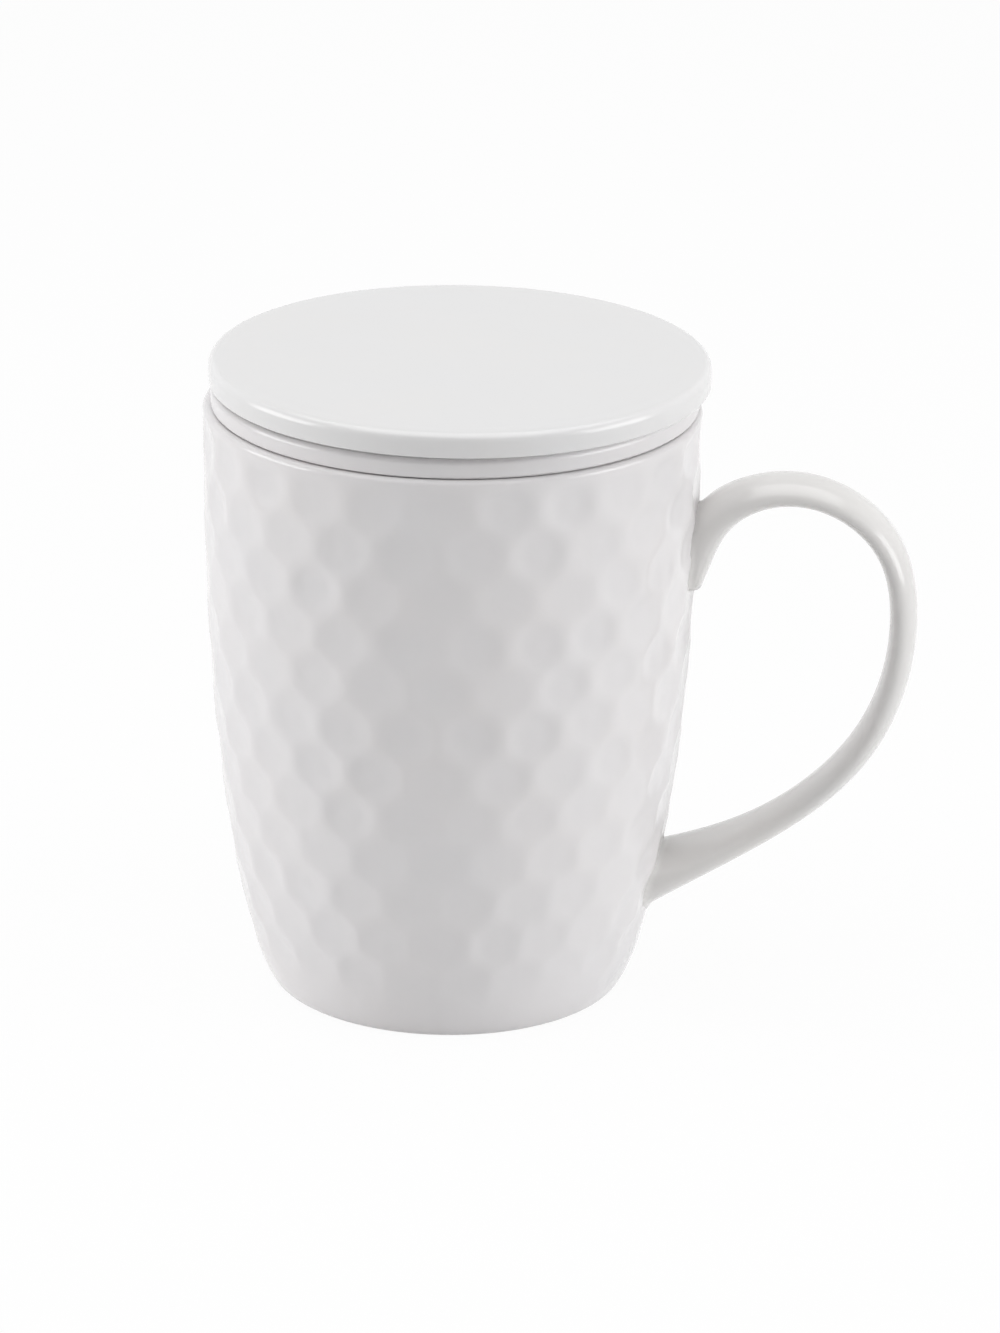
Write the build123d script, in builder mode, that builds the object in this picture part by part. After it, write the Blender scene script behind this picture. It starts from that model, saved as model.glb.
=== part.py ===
from build123d import *
from math import asin, cos, degrees, radians, sqrt
import os

# Lidded porcelain tea mug with a lift-out infuser basket and a loose flat lid.
#
# All sizes are millimetres and +Z is up.  The origin is the centre of the foot ring, on the
# surface that the mug stands on.  The handle points along +X.
# The mug, the handle, the basket and the lid are separate castings.  The handle is stuck to
# the mug's wall, the basket hangs by its flange on the mug's rim, and the lid lies on the
# flange with a ring underneath that keeps it from sliding off.

# ---------------------------------------------------------------- driving dimensions

# Mug body
mug_height = 105.0              # foot to rim
mug_radius = 42.8               # outside, at the rim
mug_wall = 3.6
upright_height = 8.5            # straight stretch of wall below the rim
foot_radius = 30.7              # where the curved side would meet the table
side_fullness = 1.3             # half width of the side's ellipse over how far the side draws in
floor_height = 6.0              # top of the floor inside the mug
cavity_round = 9.0              # inside corner between floor and wall
rim_outer_round = 0.9
rim_inner_round = 0.9
base_round = 1.5                # corner between the side and the foot
foot_ring_width = 4.4
foot_recess = 1.4               # depth of the hollow inside the foot ring
foot_inner_round = 0.6

# Handle
handle_thickness = 4.7
handle_width = 11.7
handle_reach = 38.0             # from the rim's outside to the handle's outside
handle_below_rim = 10.65        # from the rim down to the handle's top
handle_foot_height = 20.5       # where the lower root's centre line meets the wall
neck_out = 2.0                  # the strap leaves the upper root this far beyond the rim's outside
neck_drop = 5.5                 # and this far below the crest
crest_out = 17.0                # its highest point
shoulder_out = 32.5             # where it turns down
shoulder_drop = 9.5
bow_drop = 22.5                 # its outermost point, below the crest
arm_out = 29.5                  # where it turns in towards the foot
arm_height = 46.0
wrist_out = 16.5                # where it runs straight for the lower root
wrist_height = 33.0
strap_start = 0.26              # the strap is even between these shares of the handle's length
strap_end = 0.80
strap_steps = 4
upper_root_drop = 20.7          # from the crest's centre line down to the buried upper end
upper_root_thickness = 10.0
upper_root_width = 15.2
upper_root_bury = 3.6           # how far inside the wall the upper end starts
lower_root_thickness = 11.0
lower_root_width = 18.0
lower_root_bury = 3.9           # how far inside the wall the lower end stops
lower_root_dip = 1.5            # how much lower the buried end is than where it enters the wall

# Infuser basket
flange_inset = 0.9              # from the mug's outside in to the flange's edge
flange_thickness = 3.4
flange_relief = 0.2             # how far the flange's outer edge stands off the rim
flange_top_round = 0.9
flange_bottom_round = 0.4
basket_depth = 62.0             # rim to the basket's underside
basket_fit = 0.9                # radial gap between basket and mug at the rim
basket_wall = 2.8
basket_taper = 4.6              # how much narrower the basket is at the bottom
basket_floor = 3.2
basket_round = 9.0
basket_mouth_round = 1.2
basket_rest_shift = 0.4         # how far toward the handle the basket lies in its fit
hole_diameter = 2.2
hole_ring_count = 18            # holes in each row around the wall
hole_row_pitch = 8.5
hole_row_count = 4
hole_row_start = 14.0           # basket's underside to the lowest row
floor_hole_pitch = 8.0          # spacing of the rings of holes in the basket's floor
floor_ring_count = 2

# Lid
lid_overhang = 1.1              # from the flange's edge out to the lid's
lid_thickness = 4.9
lid_relief = 0.35               # how far the lid's outer edge stands off the flange
lid_top_round = 1.4
lid_bottom_round = 0.5
land_inset = 2.2                # width of the relieved band outside each seat
locating_ring_fit = 1.8         # radial gap between the lid's ring and the basket
locating_ring_width = 3.0
locating_ring_height = 5.0
locating_ring_round = 0.8
lid_rest_shift = 1.2            # how far toward the handle the lid lies in its fit

# ---------------------------------------------------------------- derived sizes

side_top = mug_height - upright_height
side_draw = (mug_radius - foot_radius) * side_fullness
side_drop = side_top / sqrt(1 - (1 - (mug_radius - foot_radius) / side_draw) ** 2)

flange_radius = mug_radius - flange_inset
flange_top = mug_height + flange_thickness
flange_underside = mug_height + flange_relief
basket_bottom = mug_height - basket_depth
basket_mouth_radius = mug_radius - mug_wall - basket_fit
basket_base_radius = basket_mouth_radius - basket_taper
basket_bore = basket_mouth_radius - basket_wall
lid_radius = flange_radius + lid_overhang
lid_top = flange_top + lid_thickness
locating_ring_radius = basket_bore - locating_ring_fit
seat_radius = flange_radius - land_inset

os.makedirs("parts", exist_ok=True)


def ring_edge(part, radius, height):
    """The circular edge of a turned part that lies nearest to a radius and a height."""
    circles = part.edges().filter_by(GeomType.CIRCLE)
    return circles.sort_by(lambda edge: abs(edge.radius - radius) + abs(edge.arc_center.Z - height))[0]


def side_angle(height):
    """Angle around the side's ellipse, in degrees below its widest point, at a height."""
    return degrees(asin((side_top - height) / side_drop))


def wall_radius(height):
    """Outside radius of the mug at a height."""
    if height > side_top:
        return mug_radius
    return mug_radius - side_draw * (1 - cos(radians(side_angle(height))))


def draw_side(inset, bottom):
    """Draw the mug's side from the rim down to a height, moved inwards by an inset."""
    upright = Line((mug_radius - inset, mug_height), (mug_radius - inset, side_top))
    centre = (mug_radius - inset - side_draw, side_top)
    curve = EllipticalCenterArc(centre, side_draw, side_drop, 0, arc_size=-side_angle(bottom))
    return upright, curve


# ---------------------------------------------------------------- mug body

with BuildPart() as mug_form:
    with BuildSketch(Plane.XZ):
        with BuildLine():
            upright, curve = draw_side(0, 0)
            Polyline(curve @ 1, (0, 0), (0, mug_height), upright @ 0)
        make_face()
    revolve(axis=Axis.Z)
    fillet(ring_edge(mug_form, foot_radius, 0), base_round)

with BuildPart() as mug_body:
    add(mug_form)
    with BuildSketch(Plane.XZ):
        with BuildLine():
            upright, curve = draw_side(mug_wall, floor_height)
            Polyline(curve @ 1, (0, floor_height), (0, mug_height), upright @ 0)
        make_face()
    revolve(axis=Axis.Z, mode=Mode.SUBTRACT)
    cavity_floor_radius = wall_radius(floor_height) - mug_wall
    fillet(ring_edge(mug_body, cavity_floor_radius, floor_height), cavity_round)
    recess_radius = foot_radius - foot_ring_width - base_round
    with Locations((0, 0, foot_recess / 2)):
        Cylinder(recess_radius, foot_recess, mode=Mode.SUBTRACT)
    fillet(ring_edge(mug_body, recess_radius, 0), foot_inner_round)
    fillet(ring_edge(mug_body, mug_radius, mug_height), rim_outer_round)
    fillet(ring_edge(mug_body, mug_radius - mug_wall, mug_height), rim_inner_round)
mug_body.part.label = "mug_body"

# ---------------------------------------------------------------- handle

crest_height = mug_height - handle_below_rim - handle_thickness / 2
bow_out = handle_reach - handle_thickness / 2
upper_end_height = crest_height - upper_root_drop
lower_end_height = handle_foot_height - lower_root_dip

with BuildLine(Plane.XZ) as handle_line:
    Spline(
        (wall_radius(upper_end_height) - upper_root_bury, upper_end_height),
        (mug_radius + neck_out, crest_height - neck_drop),
        (mug_radius + crest_out, crest_height),
        (mug_radius + shoulder_out, crest_height - shoulder_drop),
        (mug_radius + bow_out, crest_height - bow_drop),
        (mug_radius + arm_out, arm_height),
        (mug_radius + wrist_out, wrist_height),
        (wall_radius(handle_foot_height) - lower_root_bury, lower_end_height),
    )

# Share of the way along the centre line, thickness there and width there.
strap_step = (strap_end - strap_start) / strap_steps
strap_shares = [strap_start + number * strap_step for number in range(strap_steps + 1)]
handle_sections = [
    (0.0, upper_root_thickness * 0.7, upper_root_width),
    (0.06, upper_root_thickness, upper_root_width),
    (0.14, upper_root_thickness * 0.7, upper_root_width * 0.9),
    *((share, handle_thickness, handle_width) for share in strap_shares),
    (0.90, lower_root_thickness * 0.6, lower_root_width * 0.9),
    (1.0, lower_root_thickness, lower_root_width),
]

with BuildPart() as handle:
    for share, thickness, width in handle_sections:
        across = Plane(handle_line.line @ share, x_dir=(0, 1, 0), z_dir=handle_line.line % share)
        with BuildSketch(across):
            Ellipse(width / 2, thickness / 2)
    loft()
    add(mug_form, mode=Mode.SUBTRACT)
handle.part.label = "handle"

# ---------------------------------------------------------------- infuser basket

with BuildPart() as infuser_basket:
    with BuildSketch(Plane.XZ):
        with BuildLine():
            Polyline(
                (0, basket_bottom),
                (basket_base_radius, basket_bottom),
                (basket_mouth_radius, mug_height),
                (seat_radius, mug_height),
                (seat_radius, flange_underside),
                (flange_radius, flange_underside),
                (flange_radius, flange_top),
                (basket_bore, flange_top),
                (basket_bore, mug_height),
                (basket_base_radius - basket_wall, basket_bottom + basket_floor),
                (0, basket_bottom + basket_floor),
                close=True,
            )
        make_face()
    revolve(axis=Axis.Z)
    fillet(ring_edge(infuser_basket, basket_base_radius, basket_bottom), basket_round)
    inner_corner = ring_edge(
        infuser_basket, basket_base_radius - basket_wall, basket_bottom + basket_floor
    )
    fillet(inner_corner, basket_round - basket_wall)
    fillet(ring_edge(infuser_basket, basket_bore, flange_top), basket_mouth_round)
    fillet(ring_edge(infuser_basket, flange_radius, flange_top), flange_top_round)
    fillet(ring_edge(infuser_basket, flange_radius, flange_underside), flange_bottom_round)
    for row in range(hole_row_count):
        height = hole_row_start + row * hole_row_pitch
        radius = basket_base_radius + basket_taper * height / basket_depth - basket_wall / 2
        turn = (row % 2) * 180 / hole_ring_count
        with Locations((0, 0, basket_bottom + height)):
            with PolarLocations(radius, hole_ring_count, start_angle=turn):
                Cylinder(hole_diameter / 2, 3 * basket_wall, rotation=(0, 90, 0), mode=Mode.SUBTRACT)
    with Locations((0, 0, basket_bottom + basket_floor / 2)):
        Cylinder(hole_diameter / 2, 2 * basket_floor, mode=Mode.SUBTRACT)
        for ring in range(1, floor_ring_count + 1):
            with PolarLocations(ring * floor_hole_pitch, 6 * ring):
                Cylinder(hole_diameter / 2, 2 * basket_floor, mode=Mode.SUBTRACT)
infuser_basket.part.position += (basket_rest_shift, 0, 0)
infuser_basket.part.label = "infuser_basket"

# ---------------------------------------------------------------- lid

with BuildPart() as lid:
    with BuildSketch(Plane.XZ):
        with BuildLine():
            Polyline(
                (0, flange_top),
                (locating_ring_radius - locating_ring_width, flange_top),
                (locating_ring_radius - locating_ring_width, flange_top - locating_ring_height),
                (locating_ring_radius, flange_top - locating_ring_height),
                (locating_ring_radius, flange_top),
                (seat_radius, flange_top),
                (seat_radius, flange_top + lid_relief),
                (lid_radius, flange_top + lid_relief),
                (lid_radius, lid_top),
                (0, lid_top),
                close=True,
            )
        make_face()
    revolve(axis=Axis.Z)
    fillet(ring_edge(lid, lid_radius, lid_top), lid_top_round)
    fillet(ring_edge(lid, lid_radius, flange_top + lid_relief), lid_bottom_round)
    ring_end = flange_top - locating_ring_height
    fillet(ring_edge(lid, locating_ring_radius, ring_end), locating_ring_round)
    fillet(ring_edge(lid, locating_ring_radius - locating_ring_width, ring_end), locating_ring_round)
lid.part.position += (lid_rest_shift, 0, 0)
lid.part.label = "lid"

# ---------------------------------------------------------------- files

for piece in (mug_body, handle, infuser_basket, lid):
    export_step(piece.part, "parts/" + piece.part.label + ".step")
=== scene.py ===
import math

import bpy
import numpy as np
from mathutils import Matrix, Vector


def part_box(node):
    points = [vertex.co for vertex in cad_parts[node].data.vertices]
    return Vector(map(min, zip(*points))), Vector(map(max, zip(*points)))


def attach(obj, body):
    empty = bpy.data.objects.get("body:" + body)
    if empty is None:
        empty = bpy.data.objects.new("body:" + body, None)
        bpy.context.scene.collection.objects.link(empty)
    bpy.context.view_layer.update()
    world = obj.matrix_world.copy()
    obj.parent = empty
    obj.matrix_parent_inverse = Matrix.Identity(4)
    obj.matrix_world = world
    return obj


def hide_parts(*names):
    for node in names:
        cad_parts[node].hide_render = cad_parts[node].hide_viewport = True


# A white porcelain tea mug with a hammered outside, an ear handle, a pierced infuser basket
# that hangs on the rim and a loose flat lid.  Everything is in metres, +Z is up, the mug
# stands on the origin and its handle points along +X.

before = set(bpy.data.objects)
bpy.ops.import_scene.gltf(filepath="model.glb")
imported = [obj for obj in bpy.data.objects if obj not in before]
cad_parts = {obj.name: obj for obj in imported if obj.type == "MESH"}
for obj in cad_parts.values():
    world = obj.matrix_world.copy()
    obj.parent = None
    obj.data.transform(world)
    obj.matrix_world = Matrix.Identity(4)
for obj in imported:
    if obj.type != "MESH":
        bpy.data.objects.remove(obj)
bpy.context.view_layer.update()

MM = 0.001
TURN = 2 * math.pi

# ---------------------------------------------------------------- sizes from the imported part


def size(length):
    """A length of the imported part, to the tenth of a millimetre that it was drawn with."""
    return round(length, 4)


mug_low, mug_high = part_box("mug_body")
basket_low, basket_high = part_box("infuser_basket")
lid_low, lid_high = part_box("lid")

MUG_HEIGHT = size(mug_high.z)
MUG_RADIUS = size((mug_high.y - mug_low.y) / 2)
FLANGE_TOP = size(basket_high.z)
LID_TOP = size(lid_high.z)
LID_RADIUS = size((lid_high.y - lid_low.y) / 2)
LID_SHIFT = size((lid_high.x + lid_low.x) / 2)

# ---------------------------------------------------------------- sizes of the castings

# Mug body
MUG_WALL = 3.6 * MM
UPRIGHT_HEIGHT = 8.5 * MM       # straight stretch of wall below the rim
FOOT_RADIUS = 30.7 * MM
SIDE_FULLNESS = 1.3             # half width of the side's ellipse over how far the side draws in
FLOOR_HEIGHT = 6.0 * MM
CAVITY_ROUND = 9.0 * MM
CAVITY_SIDE_END = 13.0 * MM     # height where the cavity's side runs into its rounded corner
RIM_OUTER_ROUND = 0.9 * MM
RIM_INNER_ROUND = 0.9 * MM
BASE_ROUND = 1.5 * MM
FOOT_RING_WIDTH = 4.4 * MM
FOOT_RECESS = 1.4 * MM
FOOT_INNER_ROUND = 0.6 * MM
RECESS_CORNER_ROUND = 0.7 * MM  # glaze that gathers in the corner under the foot
WIPED_HEIGHT = 0.3 * MM         # the foot ring is wiped bare of glaze up to here
SIDE_START = 1.0 * MM           # where the curved side leaves the foot's rounded corner
EYE = 0.5 * MM                  # radius of the first row of faces around a turned piece's axis

# Hammered pattern
DIMPLES_AROUND = 24
DIMPLE_ROWS = 13
DIMPLE_PITCH = 8.1 * MM         # from row to row
DIMPLE_RADIUS = 4.2 * MM        # where a dimple is down to about a third of its depth
DIMPLE_DEPTH = 0.46 * MM
DIMPLE_FLATNESS = 3.8           # 2 is a bell, more gives a flatter floor and steeper flanks
FIRST_ROW_DROP = 5.4 * MM       # rim down to the middle of the first row
FIRST_DIMPLE = math.radians(-101.9)     # where around the mug the first row starts
DIMPLE_SCATTER = 0.28 * MM      # usual error of a dimple's place, across and down
DEPTH_SCATTER = 0.20            # and of its depth, as a share of it
SCATTER_SEED = 7
BEATEN_RIPPLE = 0.032 * MM      # small unevenness of the glaze between and in the dimples
RIM_PLAIN = (0.9 * MM, 3.0 * MM)    # below the rim: plain down to the first, full from the second
FOOT_PLAIN = (4.0 * MM, 14.0 * MM)  # above the foot: plain up to the first, full from the second

# Handle
HANDLE_THICKNESS = 4.7 * MM
HANDLE_WIDTH = 11.7 * MM
HANDLE_REACH = 38.0 * MM        # from the rim's outside to the handle's outside
HANDLE_BELOW_RIM = 10.65 * MM   # from the rim down to the handle's top
HANDLE_FOOT_HEIGHT = 20.5 * MM  # where the lower root's centre line meets the wall
HEEL_OUT = -0.4 * MM            # the strap bends out of its tail this far beyond the rim's outside
HEEL_DROP = 12.5 * MM           # and this far below the crest
NECK_OUT = 2.0 * MM             # where it leaves the upper root
NECK_DROP = 6.5 * MM
CREST_OUT = 17.0 * MM           # its highest point
SHOULDER_OUT = 32.5 * MM        # where it turns down
SHOULDER_DROP = 9.5 * MM
BOW_DROP = 22.5 * MM            # its outermost point, below the crest
ARM_OUT = 29.5 * MM             # where it turns in towards the foot
ARM_HEIGHT = 46.0 * MM
WRIST_OUT = 16.5 * MM           # where it runs straight for the lower root
WRIST_HEIGHT = 32.5 * MM
STRAP_START = 0.26              # the strap is even between these shares of the handle's length
STRAP_END = 0.80
STRAP_SECTIONS = 5              # sections that keep it even
STRAP_EDGE = 0.40               # share of the thickness from the inner face to the widest line
STRAP_INNER_POWER = 2.2         # squareness of the section inside that line, 2 is an ellipse
STRAP_OUTER_POWER = 2.1         # and outside it
UPPER_ROOT_DROP = 17.5 * MM     # from the crest's centre line down to the tip of the tail
UPPER_ROOT_THICKNESS = 7.9 * MM
UPPER_ROOT_WIDTH = 12.8 * MM
UPPER_ROOT_BURY = 0.7 * MM      # how far inside the wall's outline the tip starts
LOWER_ROOT_THICKNESS = 10.2 * MM
LOWER_ROOT_WIDTH = 18.0 * MM
LOWER_ROOT_BURY = 3.9 * MM      # how far inside it the lower end stops
LOWER_ROOT_DIP = 1.5 * MM       # how much lower that end is than where it enters the wall
HANDLE_SINK = 1.1 * MM          # how deep the roots' soles lie in the wall
SLIP_FILLET = 0.9 * MM          # the worked slip around the roots

# Lid
LID_RELIEF = 0.7 * MM           # how far the lid's outer edge stands off the flange
LID_TOP_ROUND = 1.4 * MM
LID_BOTTOM_ROUND = 0.5 * MM
LID_SEAT_RADIUS = 39.7 * MM     # the lid rests on the flange as far out as this
SEAT_STEP_ROUND = 0.15 * MM
LOCATING_RING_RADIUS = 33.7 * MM
LOCATING_RING_WIDTH = 3.0 * MM
LOCATING_RING_HEIGHT = 5.0 * MM
LOCATING_RING_ROUND = 0.8 * MM
LOCATING_RING_CORNER = 0.5 * MM

# Mesh
BODY_AROUND = 432               # 18 faces for each dimple
LID_AROUND = 256
HANDLE_STEPS = 220              # rows along the handle
STRAP_AROUND = 64               # points in each
ROW_STEP = 0.80 * MM            # between rows of the hammered wall
PLAIN_STEP = 3.0 * MM           # and at most elsewhere
ARC_STEPS = 6
LINE_STEPS = 2000               # points that the handle's centre line is measured with
RUNG_STEPS = 400                # and the mug's side
TOUCHING = 0.001 * MM           # what lies this close to the wall's outline is part of it

SIDE_TOP = MUG_HEIGHT - UPRIGHT_HEIGHT
SIDE_DRAW = (MUG_RADIUS - FOOT_RADIUS) * SIDE_FULLNESS
SIDE_DROP = SIDE_TOP / math.sqrt(1 - (1 - (MUG_RADIUS - FOOT_RADIUS) / SIDE_DRAW) ** 2)

# ---------------------------------------------------------------- outlines and meshes


def wall_radius(height):
    """Outside radius of the mug without its hammering: upright, then a quarter ellipse."""
    below = np.clip((SIDE_TOP - height) / SIDE_DROP, 0, 1)
    return MUG_RADIUS - SIDE_DRAW * (1 - np.sqrt(1 - below ** 2))


def smooth_step(value, start, end):
    """0 before start, 1 after end and smooth in between."""
    share = np.clip((value - start) / (end - start), 0, 1)
    return share * share * (3 - 2 * share)


def rounded(corners, step):
    """Points of an outline given as (radius, height, rounding) corners, long runs divided."""
    points = [Vector(corners[0][:2])]
    for before, here, after in zip(corners, corners[1:], corners[2:]):
        corner = Vector(here[:2])
        if here[2] == 0:
            points.append(corner)
            continue
        back = (Vector(before[:2]) - corner).normalized()
        onward = (Vector(after[:2]) - corner).normalized()
        turn = math.pi - back.angle(onward)
        middle = corner + (back + onward).normalized() * here[2] / math.cos(turn / 2)
        spoke = corner + back * here[2] * math.tan(turn / 2) - middle
        side = math.copysign(1, onward.cross(back))
        for number in range(ARC_STEPS + 1):
            points.append(middle + Matrix.Rotation(side * turn * number / ARC_STEPS, 2) @ spoke)
    points.append(Vector(corners[-1][:2]))
    filled = [points[0]]
    for start, end in zip(points, points[1:]):
        pieces = max(1, math.ceil((end - start).length / step))
        filled += [start.lerp(end, number / pieces) for number in range(1, pieces + 1)]
    return np.array(filled)


def angles_around(count):
    """The angles that divide a full turn evenly."""
    return np.arange(count) * TURN / count


def turned_rows(outline, around):
    """Rows of points made by turning an outline of (radius, height) about the Z axis."""
    angles = angles_around(around)
    height = np.broadcast_to(outline[:, 1:], (len(outline), around))
    return np.stack([outline[:, :1] * np.cos(angles), outline[:, :1] * np.sin(angles), height], axis=2)


def placed(name, data):
    """A new object of the scene that shows the data."""
    thing = bpy.data.objects.new(name, data)
    bpy.context.scene.collection.objects.link(thing)
    return thing


def skin(name, rows, body):
    """A closed smooth mesh over rows of points that each run right around, capped at both ends."""
    count, around = rows.shape[:2]
    ends = np.stack([rows[0].mean(axis=0), rows[-1].mean(axis=0)])
    faces = []
    for start in range(0, (count - 1) * around, around):
        for number in range(around):
            near, far = start + number, start + (number + 1) % around
            faces.append((near, far, far + around, near + around))
    last_row = (count - 1) * around
    for number in range(around):
        far = (number + 1) % around
        faces.append((far, number, count * around))
        faces.append((last_row + number, last_row + far, count * around + 1))
    mesh = bpy.data.meshes.new(name)
    mesh.from_pydata(np.concatenate([rows.reshape(-1, 3), ends]).tolist(), [], faces)
    mesh.shade_smooth()
    piece = placed(name, mesh)
    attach(piece, body)
    return piece


def paint(piece, name, values):
    """Gives a skin's points a value each, by row and number, for its material to read."""
    layer = piece.data.attributes.new(name, "FLOAT", "POINT")
    layer.data.foreach_set("value", np.append(values, [0, 0]).astype(np.float32))


def spline(stations, values, where):
    """A cubic spline through values at stations, with no knot at the second and last but one."""
    stations, values = np.array(stations), np.array(values, float)
    gap = np.diff(stations)
    rise = np.diff(values, axis=0) / gap[:, None]
    system = np.zeros((len(stations), len(stations)))
    right = np.zeros_like(values)
    system[0, :3] = gap[1], -gap[0] - gap[1], gap[0]
    system[-1, -3:] = gap[-1], -gap[-1] - gap[-2], gap[-2]
    for row in range(1, len(stations) - 1):
        system[row, row - 1:row + 2] = gap[row - 1], 2 * (gap[row - 1] + gap[row]), gap[row]
        right[row] = 6 * (rise[row] - rise[row - 1])
    bend = np.linalg.solve(system, right)
    span = np.clip(np.searchsorted(stations, where) - 1, 0, len(gap) - 1)
    after = ((where - stations[span]) / gap[span])[:, None]
    before = 1 - after
    straight = before * values[span] + after * values[span + 1]
    bent = (before ** 3 - before) * bend[span] + (after ** 3 - after) * bend[span + 1]
    return straight + bent * gap[span][:, None] ** 2 / 6


def distances_along(points):
    """How far along the line that runs through all the points each of them lies."""
    return np.concatenate([[0], np.cumsum(np.hypot(*np.diff(points, axis=0).T))])


def unit(vectors):
    """The vectors brought to a length of 1."""
    return vectors / np.linalg.norm(vectors, axis=-1, keepdims=True)


# ---------------------------------------------------------------- hammered pattern

rungs = np.linspace(0, MUG_HEIGHT, RUNG_STEPS)
rung_climbs = distances_along(np.stack([rungs, wall_radius(rungs)], axis=1))

random = np.random.default_rng(SCATTER_SEED)
dimple_shift = random.normal(0, DIMPLE_SCATTER, (DIMPLE_ROWS, DIMPLES_AROUND, 2))
dimple_share = 1 + random.normal(0, DEPTH_SCATTER, (DIMPLE_ROWS, DIMPLES_AROUND))


def hammering(angle, height):
    """How deep the hammering is at an angle around and a height."""
    period = TURN / DIMPLES_AROUND
    radius = wall_radius(height)
    drop = rung_climbs[-1] - np.interp(height, rungs, rung_climbs)
    total = np.zeros_like(angle)
    for row in range(DIMPLE_ROWS):
        start = FIRST_DIMPLE + period / 2 * (row % 2)
        nearest = np.round((angle - start) / period).astype(int)
        for side in (-1, 0, 1):
            number = (nearest + side) % DIMPLES_AROUND
            across = (angle - start - (nearest + side) * period) * radius
            down = drop - FIRST_ROW_DROP - row * DIMPLE_PITCH
            across = across - dimple_shift[row, number, 0]
            down = down - dimple_shift[row, number, 1]
            distance = np.hypot(across, down) / DIMPLE_RADIUS
            total += dimple_share[row, number] * np.exp(-distance ** DIMPLE_FLATNESS)
    fade = smooth_step(drop, *RIM_PLAIN) * smooth_step(height, *FOOT_PLAIN)
    return DIMPLE_DEPTH * total * fade


def side_points(inset, top, bottom, step):
    """Corners down the mug's side, moved in by an inset, between two heights."""
    heights = np.linspace(top, bottom, math.ceil((top - bottom) / step) + 1)
    return [(wall_radius(height) - inset, height, 0) for height in heights]


# ---------------------------------------------------------------- mug body


def build_mug():
    """The body, from the middle of the foot's recess up the outside and down the inside."""
    recess_radius = FOOT_RADIUS - FOOT_RING_WIDTH - BASE_ROUND
    cavity_side = side_points(MUG_WALL, MUG_HEIGHT - 2 * RIM_INNER_ROUND, CAVITY_SIDE_END, PLAIN_STEP)
    above, last = cavity_side[-2:]
    lean = (above[0] - last[0]) / (above[1] - last[1])
    cavity_radius = last[0] - lean * (CAVITY_SIDE_END - FLOOR_HEIGHT)
    outline = rounded([
        (EYE, FOOT_RECESS, 0),
        (recess_radius, FOOT_RECESS, RECESS_CORNER_ROUND),
        (recess_radius, 0, FOOT_INNER_ROUND),
        (FOOT_RADIUS, 0, BASE_ROUND),
        *reversed(side_points(0, MUG_HEIGHT - 2 * RIM_OUTER_ROUND, SIDE_START, ROW_STEP)),
        (MUG_RADIUS, MUG_HEIGHT, RIM_OUTER_ROUND),
        (MUG_RADIUS - MUG_WALL, MUG_HEIGHT, RIM_INNER_ROUND),
        *cavity_side,
        (cavity_radius, FLOOR_HEIGHT, CAVITY_ROUND),
        (EYE, FLOOR_HEIGHT, 0),
    ], PLAIN_STEP)
    rows = turned_rows(outline, BODY_AROUND)
    outside = np.abs(outline[:, 0] - wall_radius(outline[:, 1])) < TOUCHING
    angles = angles_around(BODY_AROUND)
    depth = hammering(*np.broadcast_arrays(angles, outline[outside][:, 1:]))
    rows[outside, :, 0] -= depth * np.cos(angles)
    rows[outside, :, 1] -= depth * np.sin(angles)
    piece = skin("hammered_mug", rows, "mug")
    # how deep each point lies in a hollow; the glaze reads it to paint shade into the hollows
    hollow_shade_share = np.zeros(rows.shape[:2])
    hollow_shade_share[outside] = depth / DIMPLE_DEPTH
    paint(piece, "hollow", hollow_shade_share)
    wiped = (outline[:, 1] < WIPED_HEIGHT) & (outline[:, 0] > recess_radius)
    paint(piece, "bare", np.broadcast_to(wiped[:, None], rows.shape[:2]))
    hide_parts("mug_body")
    return piece


# ---------------------------------------------------------------- handle


def handle_line():
    """Knots of the handle's centre line in the XZ plane, from the upper root to the lower."""
    crest = MUG_HEIGHT - HANDLE_BELOW_RIM - HANDLE_THICKNESS / 2
    start = crest - UPPER_ROOT_DROP
    return [
        (wall_radius(start) - UPPER_ROOT_BURY, start),
        (MUG_RADIUS + HEEL_OUT, crest - HEEL_DROP),
        (MUG_RADIUS + NECK_OUT, crest - NECK_DROP),
        (MUG_RADIUS + CREST_OUT, crest),
        (MUG_RADIUS + SHOULDER_OUT, crest - SHOULDER_DROP),
        (MUG_RADIUS + HANDLE_REACH - HANDLE_THICKNESS / 2, crest - BOW_DROP),
        (MUG_RADIUS + ARM_OUT, ARM_HEIGHT),
        (MUG_RADIUS + WRIST_OUT, WRIST_HEIGHT),
        (wall_radius(HANDLE_FOOT_HEIGHT) - LOWER_ROOT_BURY, HANDLE_FOOT_HEIGHT - LOWER_ROOT_DIP),
    ]


# Share of the way along the centre line, thickness there and width there: the tail, the upper
# root, the even strap and the lower root.
strap_shares = np.linspace(STRAP_START, STRAP_END, STRAP_SECTIONS)
HANDLE_SECTIONS = [
    (0.0, UPPER_ROOT_THICKNESS * 0.50, UPPER_ROOT_WIDTH * 0.78),
    (0.04, UPPER_ROOT_THICKNESS * 0.77, UPPER_ROOT_WIDTH * 0.96),
    (0.09, UPPER_ROOT_THICKNESS * 0.84, UPPER_ROOT_WIDTH),
    (0.15, UPPER_ROOT_THICKNESS * 0.70, UPPER_ROOT_WIDTH * 0.96),
    *((share, HANDLE_THICKNESS, HANDLE_WIDTH) for share in strap_shares),
    (0.90, LOWER_ROOT_THICKNESS * 0.55, LOWER_ROOT_WIDTH * 0.9),
    (1.0, LOWER_ROOT_THICKNESS, LOWER_ROOT_WIDTH),
]


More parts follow.
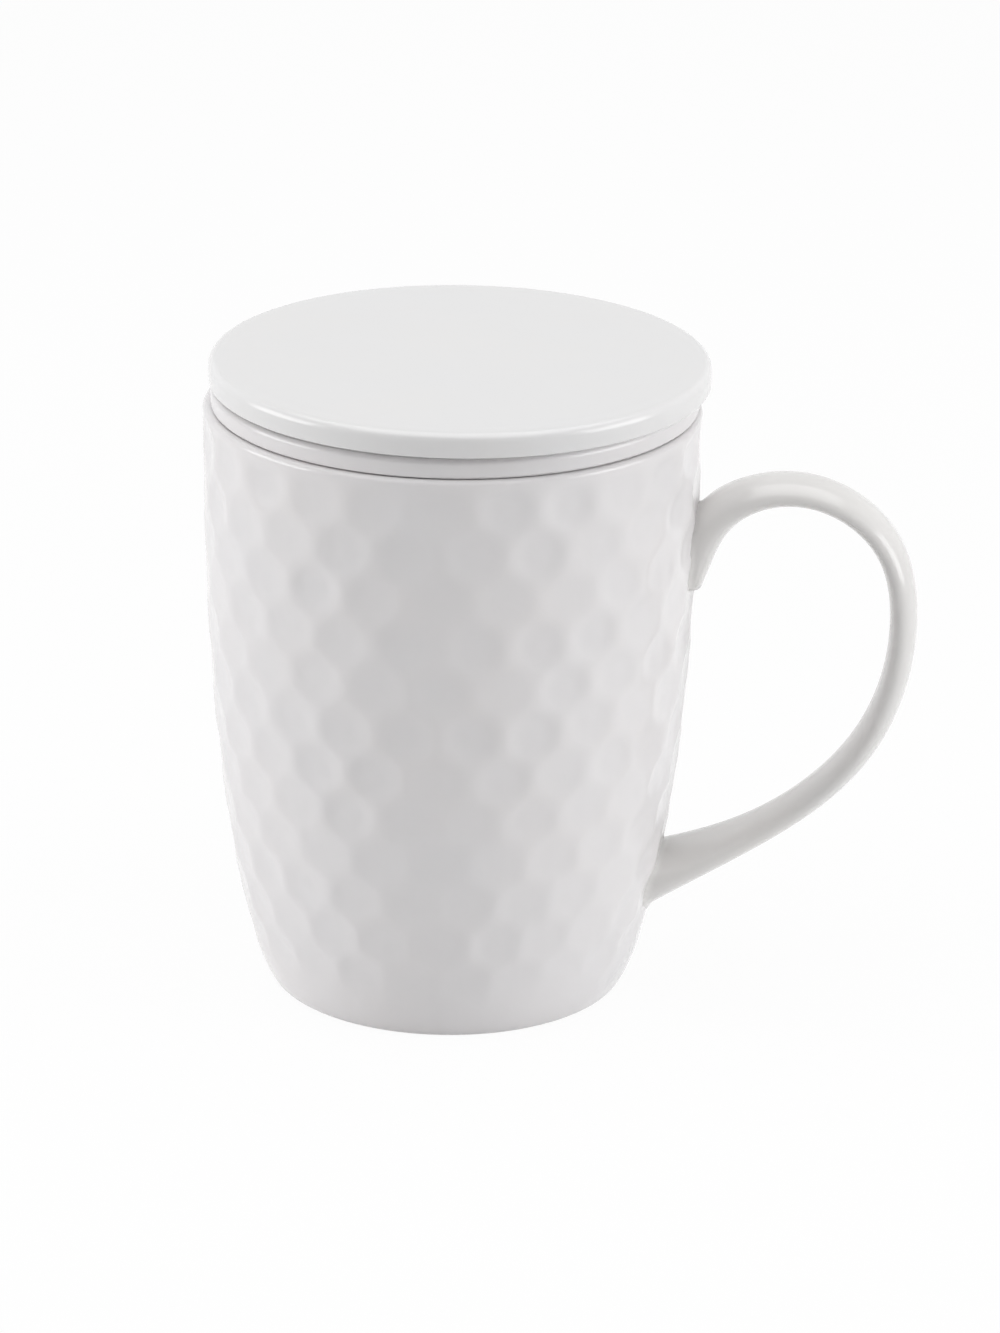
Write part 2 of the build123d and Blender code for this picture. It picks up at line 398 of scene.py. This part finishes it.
def standing_off(points):
    """How far points stand out of the hammered wall, negative inside it."""
    angle = np.arctan2(points[..., 1], points[..., 0])
    wall = wall_radius(points[..., 2]) - hammering(angle, points[..., 2])
    return np.hypot(points[..., 0], points[..., 1]) - wall


def strap_rows():
    """Rows of points around the handle's section, from the upper root to the lower."""
    knots = np.array(handle_line())
    stations = distances_along(knots)
    fine = spline(stations, knots, np.linspace(0, stations[-1], LINE_STEPS))
    walked = distances_along(fine)
    shares = np.linspace(0, 1, HANDLE_STEPS)
    line = np.stack([np.interp(shares * walked[-1], walked, fine[:, axis]) for axis in (0, 1)], axis=1)
    along = unit(np.gradient(line, axis=0))
    section_shares, thickness, width = zip(*HANDLE_SECTIONS)
    across = spline(section_shares, np.stack([thickness, width], axis=1), shares) / 2

    turns = angles_around(STRAP_AROUND)
    up, over = np.cos(turns), np.sin(turns)
    power = np.where(up < 0, STRAP_INNER_POWER, STRAP_OUTER_POWER)
    share = np.where(up < 0, STRAP_EDGE, 1 - STRAP_EDGE)
    climb = 2 * share * np.sign(up) * np.abs(up) ** (2 / power) + 2 * STRAP_EDGE - 1
    outward = climb * across[:, :1]
    sideways = np.sign(over) * np.abs(over) ** (2 / power) * across[:, 1:]
    return np.stack([
        line[:, :1] - along[:, 1:] * outward,
        -sideways,
        line[:, 1:] + along[:, :1] * outward,
    ], axis=2)


def with_slip(rows):
    """The rows spread along the wall where they come near it, as worked slip does."""
    around_edge = np.roll(rows, -1, axis=1) - np.roll(rows, 1, axis=1)
    face_out = unit(np.cross(around_edge, np.gradient(rows, axis=0)))
    wall_out = unit(rows * (1, 1, 0))
    spread = face_out - (face_out * wall_out).sum(axis=2)[..., None] * wall_out
    near = np.clip(1 - standing_off(rows) / SLIP_FILLET, 0, 1)
    return rows + spread * (SLIP_FILLET * (1 - np.sqrt(1 - near ** 2)))[..., None]


def cut_to_wall(rows):
    """The rows with no point deeper in the wall than the roots' soles lie."""
    too_deep = np.minimum(standing_off(rows) + HANDLE_SINK, 0)
    stretch = 1 - too_deep / np.hypot(rows[..., 0], rows[..., 1])
    return np.concatenate([rows[..., :2] * stretch[..., None], rows[..., 2:]], axis=2)


def build_handle():
    """The ear, stuck on to the hammered wall."""
    piece = skin("ear_handle", cut_to_wall(with_slip(strap_rows())), "mug")
    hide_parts("handle")
    return piece


# ---------------------------------------------------------------- lid


def build_lid():
    """The disc, from the middle of its underside out over the locating ring and back on top."""
    ring_end = FLANGE_TOP - LOCATING_RING_HEIGHT
    ring_bore = LOCATING_RING_RADIUS - LOCATING_RING_WIDTH
    outline = rounded([
        (EYE, FLANGE_TOP, 0),
        (ring_bore, FLANGE_TOP, LOCATING_RING_CORNER),
        (ring_bore, ring_end, LOCATING_RING_ROUND),
        (LOCATING_RING_RADIUS, ring_end, LOCATING_RING_ROUND),
        (LOCATING_RING_RADIUS, FLANGE_TOP, LOCATING_RING_CORNER),
        (LID_SEAT_RADIUS, FLANGE_TOP, SEAT_STEP_ROUND),
        (LID_SEAT_RADIUS, FLANGE_TOP + LID_RELIEF, SEAT_STEP_ROUND),
        (LID_RADIUS, FLANGE_TOP + LID_RELIEF, LID_BOTTOM_ROUND),
        (LID_RADIUS, LID_TOP, LID_TOP_ROUND),
        (EYE, LID_TOP, 0),
    ], PLAIN_STEP)
    piece = skin("disc_lid", turned_rows(outline, LID_AROUND) + (LID_SHIFT, 0, 0), "lid")
    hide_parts("lid")
    return piece


# ---------------------------------------------------------------- materials

WARM_WHITE = (0.848, 0.827, 0.830, 1.0)     # the mug's glaze drifts between these two
COOL_WHITE = (0.840, 0.827, 0.836, 1.0)
STRAP_SHADED_WARM = (0.800, 0.785, 0.768, 1.0)     # painted shade: the handle's glaze is painted a little darker for the weaker light on it
STRAP_SHADED_COOL = (0.790, 0.780, 0.770, 1.0)
LID_WARM = (0.846, 0.840, 0.838, 1.0)
LID_COOL = (0.840, 0.838, 0.842, 1.0)
BISQUE = (0.700, 0.665, 0.615, 1.0)         # unglazed fired clay
PLAIN_WHITE = (1.0, 1.0, 1.0, 1.0)
HOLLOW_PAINTED_SHADE = 0.985                        # painted shade: a hollow of the hammering is painted down to this much of its tone
HOLLOW_SHADE_SHARE = 0.5                          # and a full hollow goes this far towards that
BISQUE_ROUGHNESS = 0.75
GLAZE_ROUGHNESS = (0.13, 0.19)              # the gloss drifts between these two
GLAZE_IOR = 1.5
CLOUD_SCALE = 45.0                          # the larger a scale, the smaller its pattern
CLOUD_DETAIL = 3.0
GLOSS_SCALE = 110.0
RIPPLE_SCALE = 220.0
GRAIN_SCALE = 1400.0
SMOOTH_RIPPLE = 0.006 * MM                  # height of the glaze's ripple where it isn't beaten
GRAIN_HEIGHT = 0.0005 * MM
NOISE_MIDDLE = (0.3, 0.7)                   # most of a noise's values lie between these
MIX_FIRST, MIX_SECOND, MIX_RESULT = 6, 7, 2     # a mix node's sockets for colours


def shader_tree(name):
    """A new material, its node tree emptied, and its output node."""
    material = bpy.data.materials.new(name)
    material.use_nodes = True
    tree = material.node_tree
    tree.nodes.clear()
    return material, tree, tree.nodes.new("ShaderNodeOutputMaterial")


def add(tree, kind, inputs=(), **settings):
    """A node with its settings, and with values or links given to its inputs by name or number."""
    node = tree.nodes.new(kind)
    for key, value in settings.items():
        setattr(node, key, value)
    for key, value in dict(inputs).items():
        if isinstance(value, bpy.types.NodeSocket):
            tree.links.new(value, node.inputs[key])
        else:
            node.inputs[key].default_value = value
    return node


def noise(tree, where, scale, detail=2.0):
    """A noise pattern of values about a half."""
    texture = add(tree, "ShaderNodeTexNoise", {"Vector": where, "Scale": scale, "Detail": detail})
    return texture.outputs["Fac"]


def span(tree, value, low, high):
    """Stretches a noise's middle range to go from low to high."""
    start, end = NOISE_MIDDLE
    inputs = {"Value": value, "From Min": start, "From Max": end, "To Min": low, "To Max": high}
    return add(tree, "ShaderNodeMapRange", inputs).outputs["Result"]


def mixed(tree, share, first, second):
    """The first colour where the share is 0, the second where it is 1."""
    inputs = {"Factor": share, MIX_FIRST: first, MIX_SECOND: second}
    return add(tree, "ShaderNodeMix", inputs, data_type="RGBA").outputs[MIX_RESULT]


def bumped(tree, height, distance, inputs=()):
    """The surface's direction with a pattern of bumps of this height in metres on it."""
    inputs = {"Height": height, "Strength": 1.0, "Distance": distance, **dict(inputs)}
    return add(tree, "ShaderNodeBump", inputs).outputs["Normal"]


def glazed(name, warm, cool, ripple_height=SMOOTH_RIPPLE):
    """White porcelain under a clear glaze: faint clouds of tone, painted shade in the hollows, uneven gloss
    and a fine ripple.
    """
    material, tree, output = shader_tree(name)
    where = add(tree, "ShaderNodeTexCoord").outputs["Object"]
    hollow = add(tree, "ShaderNodeAttribute", attribute_name="hollow").outputs["Fac"]
    bare = add(tree, "ShaderNodeAttribute", attribute_name="bare").outputs["Fac"]

    tone = mixed(tree, span(tree, noise(tree, where, CLOUD_SCALE, CLOUD_DETAIL), 0.0, 1.0), warm, cool)
    # painted shade: the hollows of the hammering are painted a little darker
    hollow_shade_share = add(tree, "ShaderNodeMath", {0: hollow, 1: HOLLOW_SHADE_SHARE}, operation="MULTIPLY", use_clamp=True)
    shade = (*(HOLLOW_PAINTED_SHADE * part for part in cool[:3]), 1.0)
    tone = mixed(tree, hollow_shade_share.outputs["Value"], tone, shade)
    tone = mixed(tree, bare, tone, BISQUE)

    gloss = span(tree, noise(tree, where, GLOSS_SCALE), *GLAZE_ROUGHNESS)
    matt = add(tree, "ShaderNodeMapRange", {"Value": bare, "To Min": gloss, "To Max": BISQUE_ROUGHNESS})

    ripple = bumped(tree, noise(tree, where, RIPPLE_SCALE), ripple_height)
    grain = bumped(tree, noise(tree, where, GRAIN_SCALE), GRAIN_HEIGHT, {"Normal": ripple})
    shader = add(tree, "ShaderNodeBsdfPrincipled", {
        "Base Color": tone, "Roughness": matt.outputs["Result"], "IOR": GLAZE_IOR, "Normal": grain,
    })
    tree.links.new(shader.outputs["BSDF"], output.inputs["Surface"])
    return material


def dress(piece, material):
    """Gives a piece one material all over."""
    piece.data.materials.clear()
    piece.data.materials.append(material)


# ---------------------------------------------------------------- stage, lights and camera

LOOK_AT = Vector((8.7, 0.75, 56.8)) * MM    # what the middle of the picture shows
CAMERA_DISTANCE = 1053.9 * MM
CAMERA_AZIMUTH = math.radians(5.0)          # 0 is in front of the mug, the handle on the right
CAMERA_ELEVATION = math.radians(20.45)
CAMERA_ROLL = math.radians(0.8)
CAMERA_REACH = (0.01, 50.0)                 # nearest and farthest that it sees
LENS = 163.5
FLOOR_SIZE = 6.0
FLOOR_WHITE = (0.95, 0.95, 0.95, 1.0)
BACKDROP_SHARE = 0.95           # how much of the floor's look is plain white to the camera
ROOM = (0.02, 0.02, 0.02, 1.0)  # faint light from all round


def build_camera():
    """The scene's camera, turned about the point that it looks at."""
    camera = placed("camera", bpy.data.cameras.new("camera"))
    tilt = Matrix.Rotation(math.pi / 2 - CAMERA_ELEVATION, 4, "X")
    turn = Matrix.Rotation(CAMERA_AZIMUTH, 4, "Z") @ tilt @ Matrix.Rotation(CAMERA_ROLL, 4, "Z")
    camera.matrix_world = Matrix.Translation(LOOK_AT) @ turn @ Matrix.Translation((0, 0, CAMERA_DISTANCE))
    camera.data.lens = LENS
    camera.data.clip_start, camera.data.clip_end = CAMERA_REACH
    bpy.context.scene.camera = camera


def seen_directly(tree):
    """1 for rays from the camera and for those that a glossy or clear surface sends on."""
    path = add(tree, "ShaderNodeLightPath")
    total = path.outputs["Is Camera Ray"]
    for name in ("Is Glossy Ray", "Is Transmission Ray"):
        total = add(tree, "ShaderNodeMath", {0: total, 1: path.outputs[name]}, operation="ADD",
                    use_clamp=True).outputs["Value"]
    return total


def build_floor():
    """A square floor that shows white and keeps the mug's shadow."""
    half = FLOOR_SIZE / 2
    corners = [(-half, -half, 0), (half, -half, 0), (half, half, 0), (-half, half, 0)]
    mesh = bpy.data.meshes.new("floor")
    mesh.from_pydata(corners, [], [(0, 1, 2, 3)])
    floor = placed("floor", mesh)
    material, tree, output = shader_tree("floor")
    lit = add(tree, "ShaderNodeBsdfDiffuse", {"Color": FLOOR_WHITE})
    plain = add(tree, "ShaderNodeEmission", {"Color": PLAIN_WHITE, "Strength": 1.0})
    share = add(tree, "ShaderNodeMath", {0: seen_directly(tree), 1: BACKDROP_SHARE}, operation="MULTIPLY")
    both = add(tree, "ShaderNodeMixShader", {
        "Fac": share.outputs["Value"], 1: lit.outputs["BSDF"], 2: plain.outputs["Emission"],
    })
    tree.links.new(both.outputs["Shader"], output.inputs["Surface"])
    dress(floor, material)


def build_world():
    """A dim room for the mug that shows white behind it."""
    world = bpy.data.worlds.new("room")
    bpy.context.scene.world = world
    world.use_nodes = True
    tree = world.node_tree
    tree.nodes.clear()
    colour = mixed(tree, seen_directly(tree), ROOM, PLAIN_WHITE)
    light = add(tree, "ShaderNodeBackground", {"Color": colour, "Strength": 1.0})
    output = add(tree, "ShaderNodeOutputWorld")
    tree.links.new(light.outputs["Background"], output.inputs["Surface"])


def soft_light(name, azimuth, elevation, distance, side, power):
    """A square white lamp that looks at the mug; azimuth 0 is in front of it and 90 on its right."""
    lamp = placed(name, bpy.data.lights.new(name, "AREA"))
    around, up = math.radians(azimuth), math.radians(elevation)
    toward = Vector((math.sin(around) * math.cos(up), -math.cos(around) * math.cos(up), math.sin(up)))
    lamp.location = LOOK_AT + toward * distance
    lamp.rotation_euler = toward.to_track_quat("Z", "Y").to_euler()
    lamp.data.size = side
    lamp.data.energy = power


def build_lights():
    """A lamp on each side and a wide one overhead."""
    soft_light("light_left", azimuth=-80, elevation=12, distance=1.1, side=0.7, power=6.2)
    soft_light("light_right", azimuth=80, elevation=12, distance=1.1, side=0.7, power=6.3)
    soft_light("light_top", azimuth=0, elevation=88, distance=1.2, side=1.6, power=15.0)


# ---------------------------------------------------------------- making

mug = build_mug()
handle = build_handle()
lid = build_lid()

dress(mug, glazed("mug_glaze", WARM_WHITE, COOL_WHITE, ripple_height=BEATEN_RIPPLE))
# painted shade: the handle's glaze colours are painted darker than the body's
dress(handle, glazed("handle_glaze", STRAP_SHADED_WARM, STRAP_SHADED_COOL))
dress(lid, glazed("lid_glaze", LID_WARM, LID_COOL))
dress(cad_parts["infuser_basket"], glazed("basket_glaze", WARM_WHITE, COOL_WHITE))

build_camera()
build_floor()
build_world()
build_lights()
bpy.context.scene.view_settings.view_transform = "Standard"
